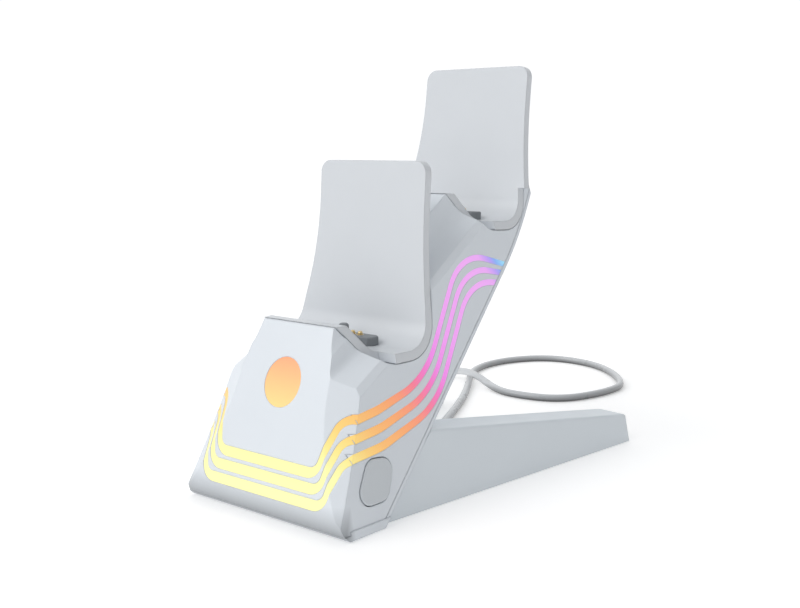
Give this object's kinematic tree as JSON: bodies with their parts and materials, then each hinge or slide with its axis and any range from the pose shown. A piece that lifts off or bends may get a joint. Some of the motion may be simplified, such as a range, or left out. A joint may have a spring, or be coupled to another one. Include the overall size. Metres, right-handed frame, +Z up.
{
  "type": "controller charging dock",
  "caption": "Stepped desk dock that holds and charges game pads on sloping cradles, with splayed rear legs, inlaid light strips, a side button and a corded lead.",
  "frame": {"origin": "middle of the dock's footprint, on the surface it stands on, cord left out", "axes": "+X to the dock's right as seen from its front, +Y to the rear, +Z up"},
  "size_m": [0.1962, 0.3177, 0.172],
  "materials": {
    "shell_white": "fine satin",
    "liner_grey": "fine satin",
    "contact_grey": "satin",
    "contact_gold": "gold plated",
    "light_upper": "lit from behind",
    "light_middle": "lit from behind",
    "light_lower": "lit from behind",
    "window_amber": "lit from behind",
    "button_white": "fine satin",
    "board_green": "solder mask",
    "chip_black": "moulded",
    "led_white": "clear resin",
    "screw_steel": "zinc plated",
    "foot_rubber": "matt",
    "cord_white": "smooth vinyl",
    "tie_black": "hook and loop",
    "plug_steel": "nickel plated"
  },
  "bodies": {
    "dock": {"base_plate": "shell_white", "base_screws": "screw_steel", "board_components": "chip_black", "board_screws": "screw_steel", "cord": "cord_white", "cord_coil": "cord_white", "cord_tail": "cord_white", "cord_tie": "tie_black", "cover_screws": "screw_steel", "cradle_screws": "screw_steel", "front_leds": "led_white", "front_light_board": "board_green", "front_shell": "shell_white", "front_window": "window_amber", "left_leg": "shell_white", "left_light_board": "board_green", "leg_screws": "screw_steel", "lower_contact_block": "contact_grey", "lower_contact_board": "board_green", "lower_cradle": "liner_grey", "lower_light_strip": "light_lower", "lower_locating_post": "contact_grey", "main_board": "board_green", "middle_light_strip": "light_middle", "mode_switch": "chip_black", "pin_barrels": "contact_gold", "plug_body": "cord_white", "plug_shell": "plug_steel", "rear_cover": "shell_white", "right_leg": "shell_white", "right_light_board": "board_green", "rubber_feet": "foot_rubber", "side_leds": "led_white", "strain_relief": "cord_white", "upper_contact_block": "contact_grey", "upper_contact_board": "board_green", "upper_cradle": "liner_grey", "upper_light_strip": "light_upper", "upper_locating_post": "contact_grey"},
    "lower_left_pin": {"lower_left_pin": "contact_gold"},
    "lower_right_pin": {"lower_right_pin": "contact_gold"},
    "upper_left_pin": {"upper_left_pin": "contact_gold"},
    "upper_right_pin": {"upper_right_pin": "contact_gold"},
    "mode_button": {"mode_button": "button_white"}
  },
  "joints": [
    {"name": "button_press", "type": "slide", "parent": "dock", "child": "mode_button", "axis": [-0.9813, 0.0686, -0.1801], "range_m": [0, 0.0006], "stiffness_N_per_m": 2000},
    {"name": "lower_left_pin_press", "type": "slide", "parent": "dock", "child": "lower_left_pin", "axis": [0, 0, -1], "range_m": [0, 0.001], "stiffness_N_per_m": 600},
    {"name": "lower_right_pin_press", "type": "slide", "parent": "dock", "child": "lower_right_pin", "axis": [0, 0, -1], "range_m": [0, 0.001], "stiffness_N_per_m": 600},
    {"name": "upper_left_pin_press", "type": "slide", "parent": "dock", "child": "upper_left_pin", "axis": [0, -0.0523, -0.9986], "range_m": [0, 0.001], "stiffness_N_per_m": 600},
    {"name": "upper_right_pin_press", "type": "slide", "parent": "dock", "child": "upper_right_pin", "axis": [0, -0.0523, -0.9986], "range_m": [0, 0.001], "stiffness_N_per_m": 600}
  ]
}
